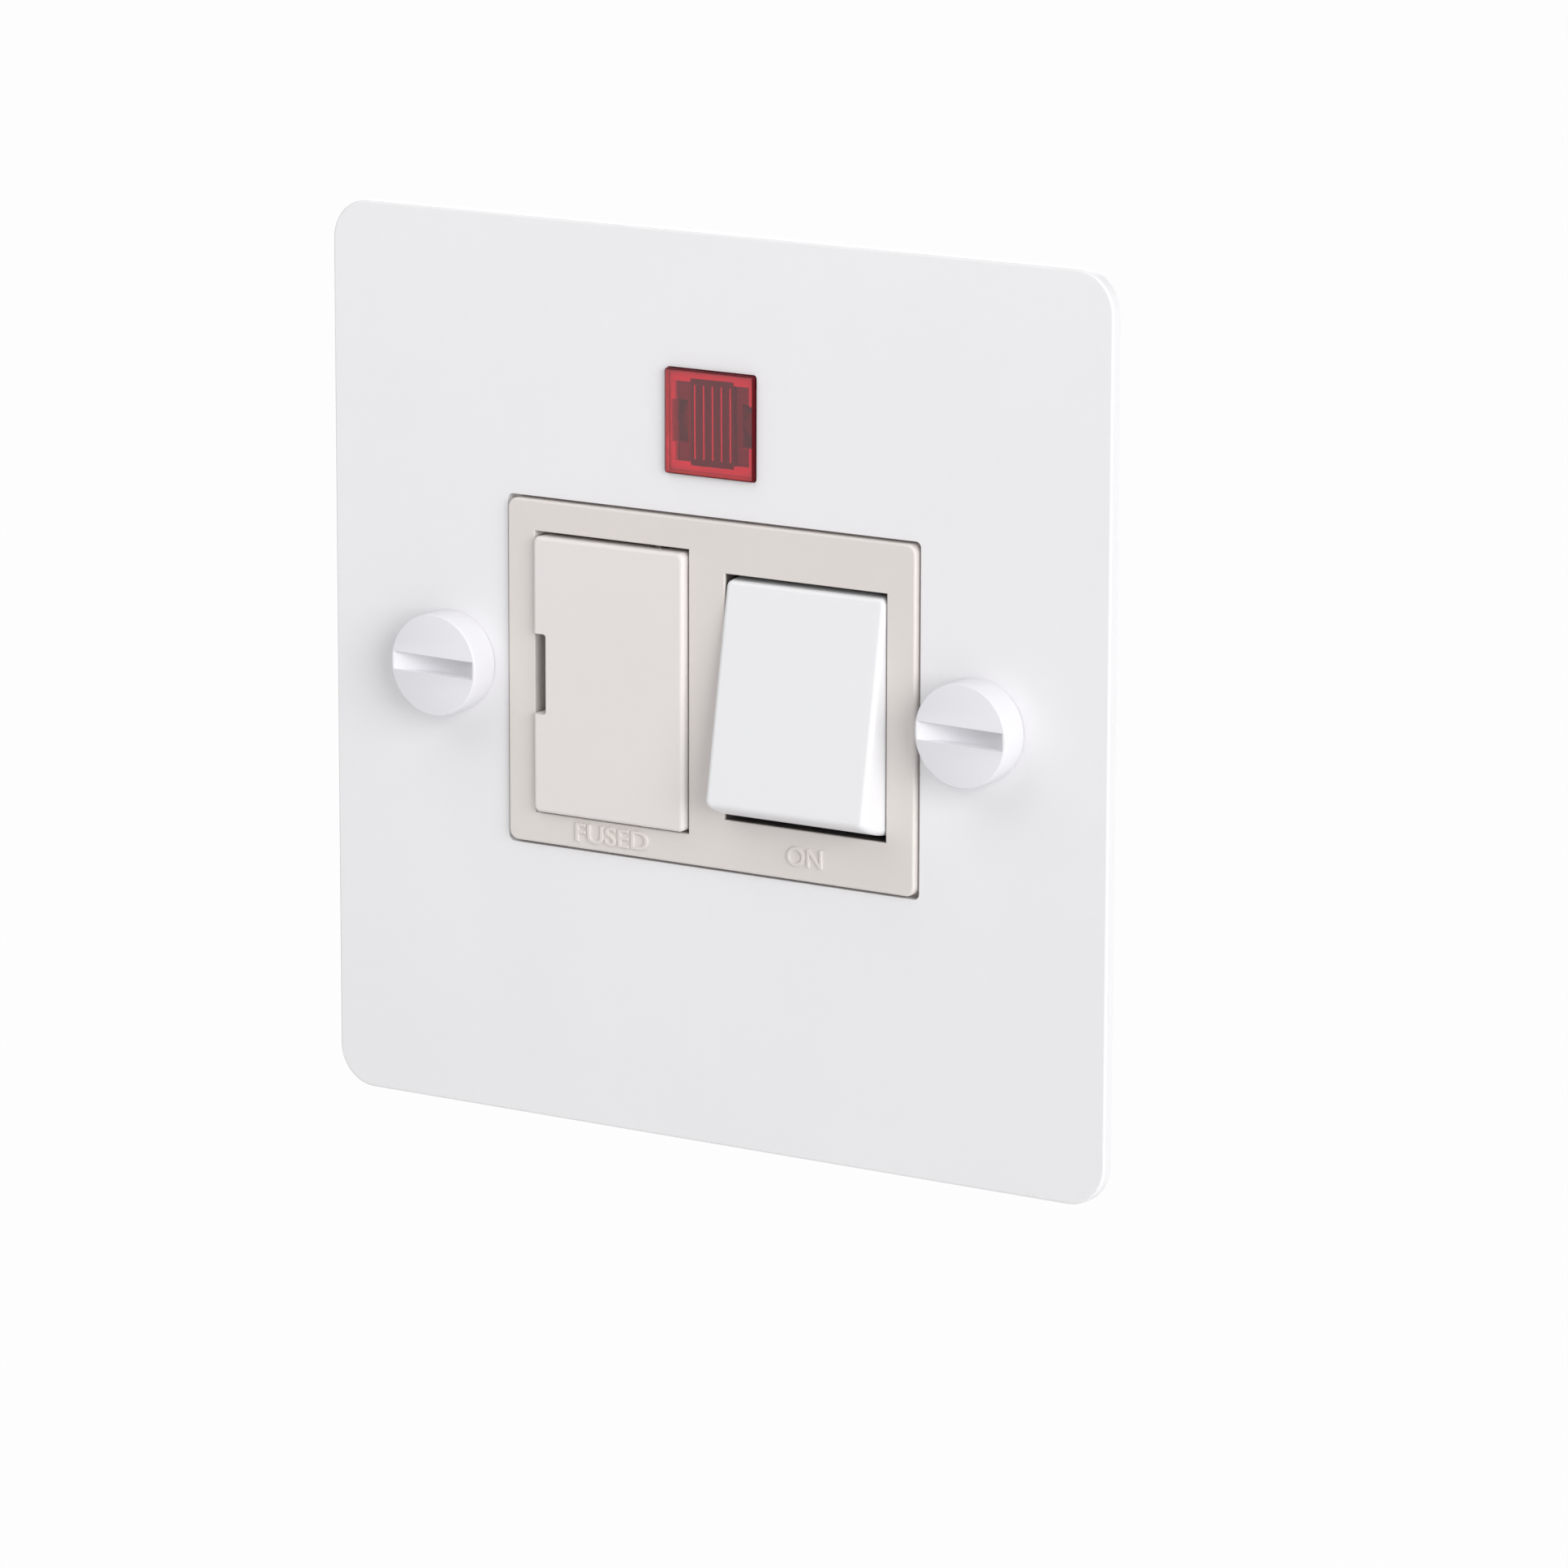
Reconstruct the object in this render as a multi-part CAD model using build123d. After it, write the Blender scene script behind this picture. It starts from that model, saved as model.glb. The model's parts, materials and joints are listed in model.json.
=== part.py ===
from build123d import *
import math
import os

# One-gang switched fused connection unit with a neon, in millimetres.
# X runs right, Y runs into the wall and Z runs up.
# The origin lies on the wall plane, midway between the two fixing screws.

# Front plate
plate_width = 88.5
plate_height = 88.5
plate_thickness = 1.2
plate_corner_radius = 4.0
plate_edge_radius = 0.25
fixing_centres = 60.3

# Fixing screws
fixing_shank_radius = 1.75
fixing_neck_radius = 1.5
fixing_length = 20.0
fixing_hole_clearance = 0.25
fixing_head_radius = 5.2
fixing_head_height = 3.5
fixing_head_edge = 0.5
fixing_slot_width = 1.75
fixing_slot_length = 8.6
fixing_slot_depth = 1.6
fixing_tip_chamfer = 0.6

# Cartridge fuse
fuse_length = 25.4
fuse_radius = 3.175
fuse_cap_length = 5.6
fuse_cap_wall = 0.35

# Bezel and its two openings
side_border = 3.15
web_width = 4.1
end_border = 3.0
fuse_opening_width = 17.9
fuse_end_room = 1.15
rocker_opening_width = 18.3
rocker_opening_height = 23.9
bezel_proud = 0.5
bezel_corner_radius = 1.0
bezel_edge_radius = 0.25
opening_edge_radius = 0.12
aperture_clearance = 0.3
aperture_corner_radius = 0.6
flange_thickness = 2.0
flange_lip = 1.05

# Rocker
rocker_side_gap = 0.15
rocker_end_gap = 0.37
rocker_tilt = 10.0
rocker_pivot_depth = 2.35
rocker_face_reach = 4.3
rocker_skirt = 1.6
rocker_wall = 1.4
rocker_rib = 0.7
rocker_corner_radius = 0.7
rocker_edge_radius = 0.55
trunnion_radius = 1.2
trunnion_length = 1.2
trunnion_end_gap = 0.3
running_clearance = 0.05

# Sprung plungers
pole_spacing = 9.0
plunger_boss_radius = 2.5
plunger_boss_reach = 3.6
plunger_bore_radius = 1.6
plunger_radius = 1.0
plunger_reach = 8.4
plunger_collar_start = 0.4
plunger_collar_length = 2.0
plunger_gap = 0.1
spring_wire_radius = 0.2
spring_turns = 4

# Switch levers and contacts
lever_width = 4.0
lever_thickness = 0.8
lever_half_length = 9.6
fulcrum_radius = 0.6
fulcrum_post_half = 1.3
fulcrum_post_drop = 0.35
contact_offset = 8.0
contact_radius = 1.4
contact_thickness = 0.6
contact_gap = 0.1

# Fuse carrier
carrier_proud = 0.7
carrier_thickness = 2.2
carrier_left_gap = 0.25
carrier_right_gap = 0.24
carrier_top_gap = 0.4
carrier_bottom_gap = 0.2
carrier_axis_inset = 3.6
carrier_axis_depth = 1.4
carrier_corner_radius = 0.6
carrier_edge_radius = 0.4
peg_radius = 0.35
peg_length = 1.0
peg_end_gap = 0.25
notch_height = 7.9
notch_depth = 1.5
notch_round = 0.3
fuse_stand_off = 0.7
cradle_length = 12.4
cradle_wall = 0.95
cradle_grip = 0.8
cradle_clearance = 0.08

# Fuse clips
clip_width = 4.4
clip_thickness = 0.5
clip_clearance = 0.15
clip_right_rise = 0.8
clip_left_angle = 46.0
clip_bend_radius = 0.4
clip_leg_thickness = 0.8

# Conductors
bus_thickness = 0.8
strap_width = 4.0
lane_strap_width = 2.2
strap_clearance = 0.2
tail_width = 3.0
tail_foot = 1.6

# Wire terminals
terminal_width = 8.0
terminal_depth = 8.0
terminal_length = 9.0
terminal_edge = 0.5
terminal_seat = 0.05
wire_hole_radius = 2.1
terminal_screw_radius = 1.6
terminal_screw_head_radius = 2.4
terminal_screw_head_height = 1.5
terminal_screw_lift = 0.2
terminal_partition = 2.6

# Rear housing
housing_side_wall = 1.4
housing_floor = 2.0
housing_corner_radius = 2.0
housing_rear_edge = 0.6
bay_margin = 0.7
bay_side_margin = 0.35
lane_wall = 0.8
core_wall = 1.2
housing_screw_radius = 1.3
housing_screw_head_radius = 2.2
housing_screw_head_height = 1.7
pillar_radius = 2.6
pillar_length = 6.0
head_clearance = 0.3
slot_share = 0.4

# Plate studs and nuts
stud_radius = 1.25
stud_length = 5.0
stud_spread = 15.0
ear_radius = 3.0
ear_gap = 0.3
nut_across_flats = 5.0
nut_thickness = 2.0

# Neon
lens_size = 10.1
lens_centre_height = 26.05
lens_proud = 0.5
lens_front_wall = 0.9
lens_side_wall = 0.3
lens_corner_radius = 0.25
lens_edge_radius = 0.15
lens_flange_lip = 0.8
lens_flange_thickness = 0.9
window_clearance = 0.1
lamp_radius = 2.0
lamp_half_length = 4.3
lamp_end_round = 0.8
lamp_set_back = 0.8
lamp_box_wall = 1.0
lamp_box_floor = 1.0
lamp_clip_width = 8.2
lamp_clip_height = 7.5
lamp_clip_step = 0.45
lamp_clip_front_gap = 0.15
grille_width = 4.8
grille_height = 8.2
grille_slits = 5
grille_slit_pitch = 1.0
grille_slit_width = 0.24
grille_slit_height = 7.2
lamp_window_height = 4.05
lamp_window_start = 3.06
lead_radius = 0.3
lead_bend = 0.6
lead_drop = 1.0
resistor_radius = 1.2
resistor_length = 6.4
resistor_end_round = 0.6

# Places worked out from the sizes above
fuse_opening_height = fuse_length + 2 * fuse_end_room
bezel_width = 2 * side_border + fuse_opening_width + web_width + rocker_opening_width
bezel_height = fuse_opening_height + 2 * end_border
bezel_front = -plate_thickness - bezel_proud
fuse_left = -bezel_width / 2 + side_border
fuse_right = fuse_left + fuse_opening_width
rocker_left = fuse_right + web_width
rocker_right = rocker_left + rocker_opening_width
rocker_x = (rocker_left + rocker_right) / 2
web_x = (fuse_right + rocker_left) / 2
live_x = rocker_x - pole_spacing / 2
neutral_x = rocker_x + pole_spacing / 2

tilt_sine = math.sin(math.radians(rocker_tilt))
tilt_cosine = math.cos(math.radians(rocker_tilt))
rocker_pivot_y = bezel_front + rocker_pivot_depth
rocker_end_radius = rocker_opening_height / 2 - rocker_end_gap
rocker_half_height = math.sqrt(rocker_end_radius**2 - rocker_face_reach**2)
rocker_half_width = rocker_opening_width / 2 - rocker_side_gap
spring_start = -rocker_face_reach + rocker_wall

lever_axis_y = rocker_pivot_y + plunger_reach + plunger_gap + lever_thickness
fixed_contact_front = (
    lever_axis_y
    + contact_thickness * tilt_cosine
    + (contact_offset + contact_radius) * tilt_sine
    + contact_gap
)
bus_front = fixed_contact_front + contact_thickness
bus_back = bus_front + bus_thickness
core_back = bus_back + housing_floor

carrier_front = bezel_front - carrier_proud
carrier_back = carrier_front + carrier_thickness
carrier_left = fuse_left + carrier_left_gap
carrier_right = fuse_right - carrier_right_gap
carrier_top = fuse_opening_height / 2 - carrier_top_gap
carrier_bottom = -fuse_opening_height / 2 + carrier_bottom_gap
carrier_axis_x = carrier_right - carrier_axis_inset
carrier_axis_y = carrier_front + carrier_axis_depth
fuse_x = (carrier_left + carrier_right) / 2
fuse_y = carrier_back + fuse_stand_off + fuse_radius
cap_centre = fuse_length / 2 - fuse_cap_length / 2

bay_half_height = fuse_opening_height / 2 + bay_margin
lane_low = bay_half_height + lane_wall
row_inner = lane_low + lane_strap_width + 2 * strap_clearance
housing_half_height = row_inner + terminal_length
housing_half_width = bezel_width / 2 + flange_lip
terminal_front = bus_front - bus_thickness
terminal_back = terminal_front + terminal_depth
wire_y = (terminal_front + terminal_back) / 2
housing_rear = terminal_back + terminal_seat + housing_floor
outer_terminal_x = housing_half_width - housing_side_wall - terminal_seat - terminal_width / 2
inner_terminal_x = outer_terminal_x - terminal_width - terminal_partition
terminal_z = row_inner + terminal_length / 2
pillar_tip = flange_thickness + pillar_length

lens_front = -plate_thickness - lens_proud
lens_flange_half = lens_size / 2 + lens_flange_lip
lamp_y = lens_front + lens_front_wall + lamp_set_back + lamp_radius
lamp_pocket_half = lens_flange_half + window_clearance
lamp_pocket_floor = lamp_y + lamp_radius + lead_radius
lamp_box_half = lamp_pocket_half + lamp_box_wall
lamp_box_back = lamp_pocket_floor + lamp_box_floor
tower_cavity_half = lamp_box_half + strap_clearance
tower_half = tower_cavity_half + housing_side_wall
tower_top = lens_centre_height + tower_half
upper_row_inner = outer_terminal_x - terminal_width / 2 - housing_side_wall
upper_pillar_x = (tower_half + upper_row_inner) / 2
lead_x = lamp_half_length + lead_drop
lead_y = lever_axis_y + lever_thickness


# Shape helpers
def block(left, right, front, back, low, high):
    centre = Pos((left + right) / 2, (front + back) / 2, (low + high) / 2)
    return centre * Box(right - left, back - front, high - low)


def rod_x(radius, y, z, left, right):
    return Pos((left + right) / 2, y, z) * Rot(0, 90, 0) * Cylinder(radius, right - left)


def rod_y(radius, x, z, front, back):
    return Pos(x, (front + back) / 2, z) * Rot(90, 0, 0) * Cylinder(radius, back - front)


def rod_z(radius, x, y, low, high):
    return Pos(x, y, (low + high) / 2) * Cylinder(radius, high - low)


def prism(outline, front, back):
    return extrude(Plane.XZ.offset(-back) * outline, amount=back - front)


def wire_along(points, radius):
    path = FilletPolyline(*points, radius=lead_bend)
    section = Plane(origin=path @ 0, z_dir=path % 0) * Circle(radius)
    return sweep(section, path=path)


def front_edges(solid):
    return solid.faces().sort_by(Axis.Y)[0].outer_wire().edges()


def rear_edges(solid):
    return solid.faces().sort_by(Axis.Y)[-1].outer_wire().edges()


# Outline shared by the front moulding's flange and the rear housing
def housing_outline():
    rows = Rectangle(2 * housing_half_width, 2 * housing_half_height)
    tower = Pos(0, tower_top / 2) * Rectangle(2 * tower_half, tower_top)
    outline = rows + tower
    return fillet(outline.vertices(), housing_corner_radius)


def pillar_places():
    return [(0, -terminal_z), (-upper_pillar_x, terminal_z), (upper_pillar_x, terminal_z)]


def ear_places():
    ear_x = housing_half_width + nut_across_flats / math.sqrt(3) + ear_gap
    return [(side * ear_x, end * stud_spread) for side in (-1, 1) for end in (-1, 1)]


# Each terminal: name, place along X and the end of the unit that its wire enters
def terminal_places():
    return [
        ("live_supply_terminal", -outer_terminal_x, 1),
        ("neutral_supply_terminal", outer_terminal_x, 1),
        ("live_load_terminal", -outer_terminal_x, -1),
        ("neutral_load_terminal", outer_terminal_x, -1),
        ("earth_supply_terminal", -inner_terminal_x, -1),
        ("earth_load_terminal", inner_terminal_x, -1),
    ]


# Coated steel plate with the bezel aperture, the neon window and two fixing holes
def front_plate():
    outline = RectangleRounded(plate_width, plate_height, plate_corner_radius)
    plate = prism(outline, -plate_thickness, 0)
    plate = fillet(front_edges(plate), plate_edge_radius)
    aperture = RectangleRounded(
        bezel_width + 2 * aperture_clearance,
        bezel_height + 2 * aperture_clearance,
        aperture_corner_radius,
    )
    window_size = lens_size + 2 * window_clearance
    window = RectangleRounded(window_size, window_size, lens_corner_radius + window_clearance)
    plate -= prism(aperture, -plate_thickness, 0)
    plate -= prism(Pos(0, lens_centre_height) * window, -plate_thickness, 0)
    for side in (-1, 1):
        hole_radius = fixing_shank_radius + fixing_hole_clearance
        plate -= rod_y(hole_radius, side * fixing_centres / 2, 0, -plate_thickness, 0)
    return plate


# Coin-slot screw: saw-cut slot floor, run-out neck through the plate, shank behind it
def fixing_screw():
    head_front = -plate_thickness - fixing_head_height
    head = rod_y(fixing_head_radius, 0, 0, head_front, -plate_thickness)
    head = fillet(front_edges(head), fixing_head_edge)
    saw_radius = (fixing_slot_length**2 / 4 + fixing_slot_depth**2) / (2 * fixing_slot_depth)
    saw_y = head_front + fixing_slot_depth - saw_radius
    head -= rod_z(saw_radius, 0, saw_y, -fixing_slot_width / 2, fixing_slot_width / 2)
    neck = rod_y(fixing_neck_radius, 0, 0, -plate_thickness, 0)
    shank = rod_y(fixing_shank_radius, 0, 0, 0, fixing_length - plate_thickness)
    shank = chamfer(rear_edges(shank), fixing_tip_chamfer)
    return head + neck + shank


def fixing_screws():
    screw = fixing_screw()
    return [Pos(side * fixing_centres / 2, 0, 0) * screw for side in (-1, 1)]


# Studs welded to the plate, and the nuts that draw the moulding's ears against it
def plate_studs():
    return [rod_y(stud_radius, x, z, 0, stud_length) for x, z in ear_places()]


def stud_nuts():
    nut = RegularPolygon(nut_across_flats / 2, 6, major_radius=False)
    nut -= Circle(stud_radius + running_clearance)
    back = flange_thickness + nut_thickness
    return [prism(Pos(x, z) * nut, flange_thickness, back) for x, z in ear_places()]


# Bezel block, flange behind the plate, lamp box, pillars and ears in one moulding
def front_moulding():
    front = bezel_front
    back = flange_thickness
    bezel = prism(RectangleRounded(bezel_width, bezel_height, bezel_corner_radius), front, back)
    bezel = fillet(front_edges(bezel), bezel_edge_radius)
    fuse_half = fuse_opening_height / 2
    rocker_half = rocker_opening_height / 2
    fuse_opening = block(fuse_left, fuse_right, front, back, -fuse_half, fuse_half)
    rocker_opening = block(rocker_left, rocker_right, front, back, -rocker_half, rocker_half)
    bezel -= fuse_opening
    bezel -= rocker_opening
    opening_edges = [wire.edges() for wire in bezel.faces().sort_by(Axis.Y)[0].inner_wires()]
    bezel = fillet([edge for edges in opening_edges for edge in edges], opening_edge_radius)

    flange = housing_outline()
    for x, z in ear_places():
        side = math.copysign(1, x)
        root = side * (housing_half_width - housing_side_wall)
        bridge = Pos((root + x) / 2, z) * Rectangle(abs(x - root), 2 * ear_radius)
        flange += bridge + Pos(x, z) * Circle(ear_radius)
    moulding = prism(flange, 0, flange_thickness)
    moulding -= fuse_opening
    moulding -= rocker_opening
    moulding += bezel

    for x, z in ear_places():
        moulding -= rod_y(stud_radius + running_clearance, x, z, 0, flange_thickness)
    for x, z in pillar_places():
        moulding += rod_y(pillar_radius, x, z, flange_thickness, pillar_tip)
        moulding -= rod_y(housing_screw_radius + running_clearance, x, z, flange_thickness, pillar_tip)

    moulding += lamp_box()
    moulding -= lamp_pocket()
    moulding -= trunnion_sockets()
    moulding -= peg_sockets()
    moulding -= earth_tail_slot()
    return moulding


def lamp_box():
    side = 2 * lamp_box_half
    outline = Pos(0, lens_centre_height) * RectangleRounded(side, side, housing_corner_radius)
    return prism(outline, 0, lamp_box_back)


def lamp_pocket():
    side = 2 * lamp_pocket_half
    outline = Pos(0, lens_centre_height) * Rectangle(side, side)
    pocket = prism(outline, 0, lamp_pocket_floor)
    for lead in (-lead_x, lead_x):
        hole_radius = lead_radius + strap_clearance
        pocket += rod_y(hole_radius, lead, lens_centre_height, lamp_pocket_floor, lamp_box_back)
    return pocket


# Slots open to the rear, so that the rocker drops in before the housing closes them
def trunnion_sockets():
    radius = trunnion_radius + running_clearance
    depth = trunnion_length - rocker_side_gap + trunnion_end_gap
    left = rod_x(radius, rocker_pivot_y, 0, rocker_left - depth, rocker_left)
    left += block(rocker_left - depth, rocker_left, rocker_pivot_y, flange_thickness, -radius, radius)
    right = rod_x(radius, rocker_pivot_y, 0, rocker_right, rocker_right + depth)
    right += block(rocker_right, rocker_right + depth, rocker_pivot_y, flange_thickness, -radius, radius)
    return left + right


def peg_sockets():
    radius = peg_radius + running_clearance
    reach = max(carrier_top, -carrier_bottom) + peg_length + peg_end_gap
    return rod_z(radius, carrier_axis_x, carrier_axis_y, -reach, reach)


# Room in the flange for the strap that earths the plate
def earth_tail_slot():
    half = tail_width / 2 + strap_clearance
    foot_back = bus_thickness + strap_clearance
    tail_high = -row_inner + strap_clearance
    tail_low = -row_inner - bus_thickness - strap_clearance
    slot = block(-half, half, 0, flange_thickness, tail_low, tail_high)
    return slot + block(-half, half, 0, foot_back, -row_inner - tail_foot - strap_clearance, tail_high)


# Open-fronted housing with a fuse bay, a switch bay, conductor lanes and terminal tunnels
def rear_housing():
    housing = prism(housing_outline(), flange_thickness, core_back)
    row_shoulder = row_inner - core_wall
    row_middle = (row_shoulder + housing_half_height) / 2
    row_height = housing_half_height - row_shoulder
    row = RectangleRounded(2 * housing_half_width, row_height, housing_corner_radius)
    lower_row = prism(Pos(0, -row_middle) * row, core_back, housing_rear)
    housing += fillet(rear_edges(lower_row), housing_rear_edge)
    upper_width = housing_half_width - upper_row_inner
    upper = RectangleRounded(upper_width, row_height, housing_corner_radius)
    for side in (-1, 1):
        upper_x = side * (upper_row_inner + housing_half_width) / 2
        upper_row = prism(Pos(upper_x, row_middle) * upper, core_back, housing_rear)
        housing += fillet(rear_edges(upper_row), housing_rear_edge)

    housing -= bays()
    housing -= lanes()
    for _, x, end in terminal_places():
        housing -= terminal_tunnel(x, end)
    for x, z in pillar_places():
        housing -= rod_y(pillar_radius + strap_clearance, x, z, flange_thickness, pillar_tip)
        housing -= rod_y(housing_screw_radius + strap_clearance, x, z, flange_thickness, bus_back)
        housing -= rod_y(housing_screw_head_radius + head_clearance, x, z, bus_back, housing_rear)
    return housing


def bays():
    fuse_bay = block(
        fuse_left - bay_side_margin,
        fuse_right + bay_side_margin,
        flange_thickness,
        bus_back,
        -bay_half_height,
        bay_half_height,
    )
    switch_bay = block(
        rocker_left - bay_side_margin,
        rocker_right + bay_side_margin,
        flange_thickness,
        bus_back,
        -bay_half_height,
        bay_half_height,
    )
    lamp_bay = block(
        -tower_cavity_half,
        tower_cavity_half,
        flange_thickness,
        bus_back,
        lens_centre_height - tower_cavity_half,
        lens_centre_height + tower_cavity_half,
    )
    return fuse_bay + switch_bay + lamp_bay


# Channels that the straps and lamp leads lie in, open to the front
def lanes():
    half = strap_width / 2 + strap_clearance
    lead_half = lead_radius + strap_clearance
    front = flange_thickness
    back = bus_back
    lamp_bay_low = lens_centre_height - tower_cavity_half
    upper = block(-outer_terminal_x - half, live_x + half, front, back, lane_low, row_inner)
    upper += block(live_x - half, live_x + half, front, back, bay_half_height, row_inner)
    upper += block(neutral_x - half, neutral_x + half, front, back, bay_half_height, row_inner)
    lower = block(-outer_terminal_x - half, fuse_x + half, front, back, -row_inner, -lane_low)
    lower += block(fuse_x - half, fuse_x + half, front, back, -row_inner, -bay_half_height)
    lower += block(neutral_x - half, neutral_x + half, front, back, -row_inner, -bay_half_height)
    earth_half = earth_reach() + strap_clearance
    earth = block(-earth_half, earth_half, front, back, -row_inner, -lane_low)
    tail_half = tail_width / 2 + strap_clearance
    tail_low = -row_inner - bus_thickness - strap_clearance
    earth += block(-tail_half, tail_half, front, back, tail_low, -row_inner)
    link = block(fuse_right, rocker_left, front, back, -half, half)
    live_lead = block(web_x - lead_half, web_x + lead_half, front, lead_y + lead_half, 0, lamp_bay_low)
    neutral_lead = block(lead_x - lead_half, lead_x + lead_half, front, lead_y + lead_half, 0, lamp_bay_low)
    return upper + lower + earth + link + live_lead + neutral_lead


# Tunnel for one terminal, the driver hole behind it and the core-out in front of it
def terminal_tunnel(x, end):
    half = terminal_width / 2 + terminal_seat
    front = terminal_front - terminal_seat
    back = terminal_back + terminal_seat
    low, high = sorted((end * row_inner, end * housing_half_height))
    tunnel = block(x - half, x + half, front, back, low, high)
    tunnel += rod_y(terminal_screw_head_radius + head_clearance, x, end * terminal_z, back, housing_rear)
    core_half = terminal_width / 2 - core_wall
    core_low, core_high = sorted((end * (row_inner + core_wall), end * (housing_half_height - core_wall)))
    tunnel += block(x - core_half, x + core_half, flange_thickness, front - core_wall, core_low, core_high)
    return tunnel


# Screws that pull the housing onto the front moulding's pillars
def housing_screws():
    tip = flange_thickness + strap_clearance
    screws = []
    for x, z in pillar_places():
        head_back = bus_back + housing_screw_head_height
        head = rod_y(housing_screw_head_radius, x, z, bus_back, head_back)
        head -= driver_slot(housing_screw_head_radius, housing_screw_head_height, x, z, head_back)
        screws.append(head + rod_y(housing_screw_radius, x, z, tip, bus_back))
    return screws


def driver_slot(head_radius, head_height, x, z, head_back):
    half_width = slot_share * head_height
    floor = head_back - slot_share * head_height
    return block(x - head_radius, x + head_radius, floor, head_back, z - half_width, z + half_width)


# Brass block with the wire tunnel along Z and the clamp screw's hole from behind
def terminal(x, end):
    low, high = sorted((end * row_inner, end * housing_half_height))
    half = terminal_width / 2
    body = block(x - half, x + half, terminal_front, terminal_back, low, high)
    body = fillet(body.edges().filter_by(Axis.Z), terminal_edge)
    body -= rod_z(wire_hole_radius, x, wire_y, low, high)
    body -= rod_y(terminal_screw_radius + running_clearance, x, end * terminal_z, wire_y, terminal_back)
    return body


# The clamp screws are backed out, so that the wire tunnels are clear
def terminal_screws():
    screws = []
    for _, x, end in terminal_places():
        z = end * terminal_z
        head_front = terminal_back + terminal_screw_lift
        head_back = head_front + terminal_screw_head_height
        tip = wire_y + wire_hole_radius + running_clearance
        head = rod_y(terminal_screw_head_radius, x, z, head_front, head_back)
        head -= driver_slot(terminal_screw_head_radius, terminal_screw_head_height, x, z, head_back)
        screws.append(head + rod_y(terminal_screw_radius, x, z, tip, head_front))
    return screws


# Rocker drawn at mid travel about its own pivot, with arced ends, then laid over to off
def at_rocker(shape):
    return Pos(rocker_x, rocker_pivot_y, 0) * Rot(-rocker_tilt, 0, 0) * shape


def rocker():
    side = rocker_half_width
    end = rocker_end_radius
    cap = block(-side, side, -rocker_face_reach, rocker_skirt, -end, end)
    cap &= rod_x(end, 0, 0, -side, side)
    cap = fillet(cap.edges().filter_by(GeomType.CIRCLE), rocker_corner_radius)
    cap = fillet(front_edges(cap), rocker_edge_radius)
    inner_half = rocker_half_width - rocker_wall
    inner_end = rocker_half_height - rocker_wall
    cap -= block(-inner_half, inner_half, spring_start, rocker_skirt, -inner_end, inner_end)
    cap += block(-rocker_rib / 2, rocker_rib / 2, spring_start, 0, -inner_end, inner_end)
    for side in (-1, 1):
        pole = side * pole_spacing / 2
        cap += rod_y(plunger_boss_radius, pole, 0, spring_start, plunger_boss_reach)
        cap -= rod_y(plunger_bore_radius, pole, 0, spring_start, plunger_boss_reach)
        pin_start = side * rocker_half_width
        pin_end = side * (rocker_half_width + trunnion_length)
        cap += rod_x(trunnion_radius, 0, 0, *sorted((pin_start, pin_end)))
    return at_rocker(cap)


def rocker_plungers():
    collar_end = plunger_collar_start + plunger_collar_length
    ball_y = plunger_reach - plunger_radius
    collar_radius = plunger_bore_radius - running_clearance
    pin = rod_y(collar_radius, 0, 0, plunger_collar_start, collar_end)
    pin += rod_y(plunger_radius, 0, 0, collar_end, ball_y)
    pin += Pos(0, ball_y, 0) * Sphere(plunger_radius)
    return [at_rocker(Pos(side * pole_spacing / 2, 0, 0) * pin) for side in (-1, 1)]


def plunger_springs():
    wire_room = spring_wire_radius + running_clearance
    length = plunger_collar_start - spring_start - 2 * wire_room
    coil_radius = plunger_bore_radius - spring_wire_radius - 2 * running_clearance
    coil = Helix(length / spring_turns, length, coil_radius, direction=(0, 1, 0))
    section = Plane(origin=coil @ 0, z_dir=coil % 0) * Circle(spring_wire_radius)
    spring = Pos(0, spring_start + wire_room, 0) * sweep(section, path=coil, is_frenet=True)
    return [at_rocker(Pos(side * pole_spacing / 2, 0, 0) * spring) for side in (-1, 1)]


# See-saw levers, drawn level about the fulcrum and tipped to off
def at_lever(shape, x):
    return Pos(x, lever_axis_y, 0) * Rot(rocker_tilt, 0, 0) * shape


def switch_lever(x):
    outline = SlotOverall(2 * lever_half_length, lever_width, rotation=90)
    blade = prism(outline, -lever_thickness, 0)
    bead = rod_x(fulcrum_radius, 0, 0, -lever_width / 2, lever_width / 2)
    bead -= block(-lever_width, lever_width, -lever_width, 0, -lever_width, lever_width)
    return at_lever(blade + bead, x)


def lever_contacts():
    tip = rod_y(contact_radius, 0, contact_offset, 0, contact_thickness)
    return [at_lever(tip, x) for x in (live_x, neutral_x)]


def fixed_contacts():
    poles = (live_x, neutral_x)
    return [rod_y(contact_radius, x, contact_offset, fixed_contact_front, bus_front) for x in poles]


# Flat strap on the bay floor
def strap(left, right, low, high):
    return block(left, right, bus_front, bus_back, low, high)


# Grooved post that a lever rocks on
def fulcrum_post(x):
    half_width = lever_width / 2
    half = fulcrum_post_half
    post = block(x - half_width, x + half_width, lever_axis_y + fulcrum_post_drop, bus_front, -half, half)
    groove = rod_x(fulcrum_radius + running_clearance, lever_axis_y, 0, x - half_width, x + half_width)
    return post - groove


def live_supply_strap():
    half = strap_width / 2
    low = lane_low + strap_clearance
    high = low + lane_strap_width
    run = strap(-outer_terminal_x - half, live_x + half, low, high)
    drop = strap(live_x - half, live_x + half, contact_offset - half, high)
    tab = strap(-outer_terminal_x - half, -outer_terminal_x + half, low, row_inner)
    return run + drop + tab


def neutral_supply_strap():
    half = strap_width / 2
    return strap(neutral_x - half, neutral_x + half, contact_offset - half, row_inner)


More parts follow.
